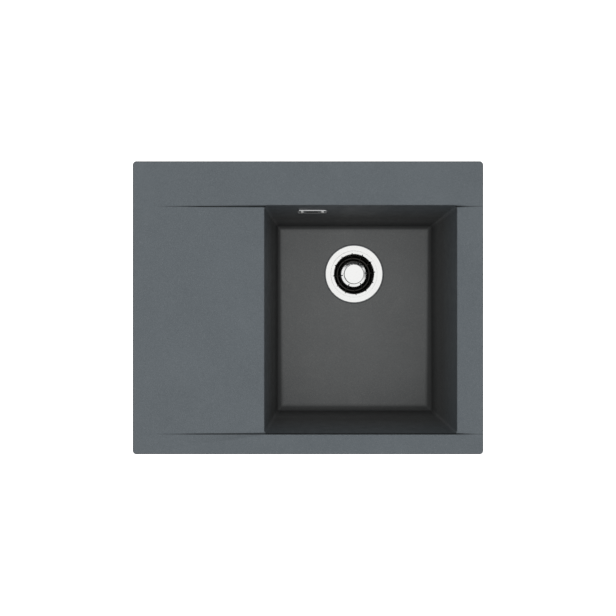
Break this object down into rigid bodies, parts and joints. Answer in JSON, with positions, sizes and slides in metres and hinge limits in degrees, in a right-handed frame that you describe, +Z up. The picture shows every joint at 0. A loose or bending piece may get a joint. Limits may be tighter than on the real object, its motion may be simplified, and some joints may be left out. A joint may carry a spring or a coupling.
{
  "type": "inset kitchen sink with drainboard",
  "caption": "Inset composite kitchen sink with a drafted bowl at the right and a sloped drainboard at the left, with basket strainer waste, overflow and underside clips.",
  "frame": {"origin": "on the rim's seating land at the middle of the front edge, in the plane of the worktop's top face", "axes": "+X to the user's right, +Y from the front edge to the ledge at the back, +Z up out of the bowl"},
  "size_m": [0.61, 0.51, 0.3051],
  "materials": {
    "sink_composite": "fine granite composite, satin matt, mid grey",
    "polished_steel": "polished stainless steel",
    "knob_metal": "bright chromed cap",
    "overflow_chrome": "chromed pressing",
    "screw_steel": "plain stainless steel",
    "clip_zinc": "zinc-plated steel",
    "brass": "turned brass",
    "foam_seal": "closed-cell foam strip",
    "black_rubber": "moulded black rubber",
    "white_plastic": "moulded white polypropylene",
    "grey_plastic": "moulded grey polypropylene",
    "hose_plastic": "corrugated white polypropylene"
  },
  "bodies": {
    "sink": {"sink_body": "sink_composite", "rim_seal": "foam_seal", "clip_inserts": "brass", "overflow_plate": "overflow_chrome", "overflow_seal_front": "black_rubber", "overflow_seal_rear": "black_rubber", "overflow_box": "grey_plastic", "overflow_screw_left": "screw_steel", "overflow_screw_right": "screw_steel", "overflow_hose": "hose_plastic", "hose_washer_top": "black_rubber", "hose_nut_top": "white_plastic", "hose_washer_bottom": "black_rubber", "hose_nut_bottom": "white_plastic", "strainer_flange": "polished_steel", "flange_gasket": "black_rubber", "body_gasket": "black_rubber", "waste_body": "white_plastic", "waste_screw": "screw_steel", "waste_nut": "brass"},
    "spindle": {"basket_spindle": "screw_steel", "basket_seal": "black_rubber", "spindle_clip": "screw_steel"},
    "basket": {"strainer_basket": "polished_steel", "basket_knob": "knob_metal"},
    "screw_front_left": {"clip_screw_front_left": "clip_zinc"},
    "claw_front_left": {"clip_claw_front_left": "clip_zinc"},
    "screw_front_right": {"clip_screw_front_right": "clip_zinc"},
    "claw_front_right": {"clip_claw_front_right": "clip_zinc"},
    "screw_back_left": {"clip_screw_back_left": "clip_zinc"},
    "claw_back_left": {"clip_claw_back_left": "clip_zinc"},
    "screw_back_right": {"clip_screw_back_right": "clip_zinc"},
    "claw_back_right": {"clip_claw_back_right": "clip_zinc"},
    "screw_left_front": {"clip_screw_left_front": "clip_zinc"},
    "claw_left_front": {"clip_claw_left_front": "clip_zinc"},
    "screw_left_back": {"clip_screw_left_back": "clip_zinc"},
    "claw_left_back": {"clip_claw_left_back": "clip_zinc"},
    "screw_right_front": {"clip_screw_right_front": "clip_zinc"},
    "claw_right_front": {"clip_claw_right_front": "clip_zinc"},
    "screw_right_back": {"clip_screw_right_back": "clip_zinc"},
    "claw_right_back": {"clip_claw_right_back": "clip_zinc"}
  },
  "joints": [
    {"name": "basket_lift", "type": "slide", "parent": "sink", "child": "spindle", "axis": [0, 0, 1], "range_m": [0, 0.26]},
    {"name": "basket_turn", "type": "hinge", "parent": "spindle", "child": "basket", "pos_m": [0.092, 0.32, -0.2039], "axis": [0, 0, 1], "continuous": true},
    {"name": "clip_slide_front_left", "type": "slide", "parent": "sink", "child": "screw_front_left", "axis": [0, 0, 1], "range_m": [0, 0.013]},
    {"name": "claw_swing_front_left", "type": "hinge", "parent": "screw_front_left", "child": "claw_front_left", "pos_m": [-0.19, 0.0195, -0.052], "axis": [0, 0, 1], "range_deg": [-90, 0]},
    {"name": "clip_slide_front_right", "type": "slide", "parent": "sink", "child": "screw_front_right", "axis": [0, 0, 1], "range_m": [0, 0.013]},
    {"name": "claw_swing_front_right", "type": "hinge", "parent": "screw_front_right", "child": "claw_front_right", "pos_m": [0.19, 0.0195, -0.052], "axis": [0, 0, 1], "range_deg": [0, 90]},
    {"name": "clip_slide_back_left", "type": "slide", "parent": "sink", "child": "screw_back_left", "axis": [0, 0, 1], "range_m": [0, 0.013]},
    {"name": "claw_swing_back_left", "type": "hinge", "parent": "screw_back_left", "child": "claw_back_left", "pos_m": [-0.19, 0.4855, -0.052], "axis": [0, 0, 1], "range_deg": [0, 90]},
    {"name": "clip_slide_back_right", "type": "slide", "parent": "sink", "child": "screw_back_right", "axis": [0, 0, 1], "range_m": [0, 0.013]},
    {"name": "claw_swing_back_right", "type": "hinge", "parent": "screw_back_right", "child": "claw_back_right", "pos_m": [0.19, 0.4855, -0.052], "axis": [0, 0, 1], "range_deg": [-90, 0]},
    {"name": "clip_slide_left_front", "type": "slide", "parent": "sink", "child": "screw_left_front", "axis": [0, 0, 1], "range_m": [0, 0.013]},
    {"name": "claw_swing_left_front", "type": "hinge", "parent": "screw_left_front", "child": "claw_left_front", "pos_m": [-0.283, 0.09175, -0.052], "axis": [0, 0, 1], "range_deg": [0, 90]},
    {"name": "clip_slide_left_back", "type": "slide", "parent": "sink", "child": "screw_left_back", "axis": [0, 0, 1], "range_m": [0, 0.013]},
    {"name": "claw_swing_left_back", "type": "hinge", "parent": "screw_left_back", "child": "claw_left_back", "pos_m": [-0.283, 0.37175, -0.052], "axis": [0, 0, 1], "range_deg": [-90, 0]},
    {"name": "clip_slide_right_front", "type": "slide", "parent": "sink", "child": "screw_right_front", "axis": [0, 0, 1], "range_m": [0, 0.013]},
    {"name": "claw_swing_right_front", "type": "hinge", "parent": "screw_right_front", "child": "claw_right_front", "pos_m": [0.283, 0.09175, -0.052], "axis": [0, 0, 1], "range_deg": [-90, 0]},
    {"name": "clip_slide_right_back", "type": "slide", "parent": "sink", "child": "screw_right_back", "axis": [0, 0, 1], "range_m": [0, 0.013]},
    {"name": "claw_swing_right_back", "type": "hinge", "parent": "screw_right_back", "child": "claw_right_back", "pos_m": [0.283, 0.37175, -0.052], "axis": [0, 0, 1], "range_deg": [0, 90]}
  ]
}
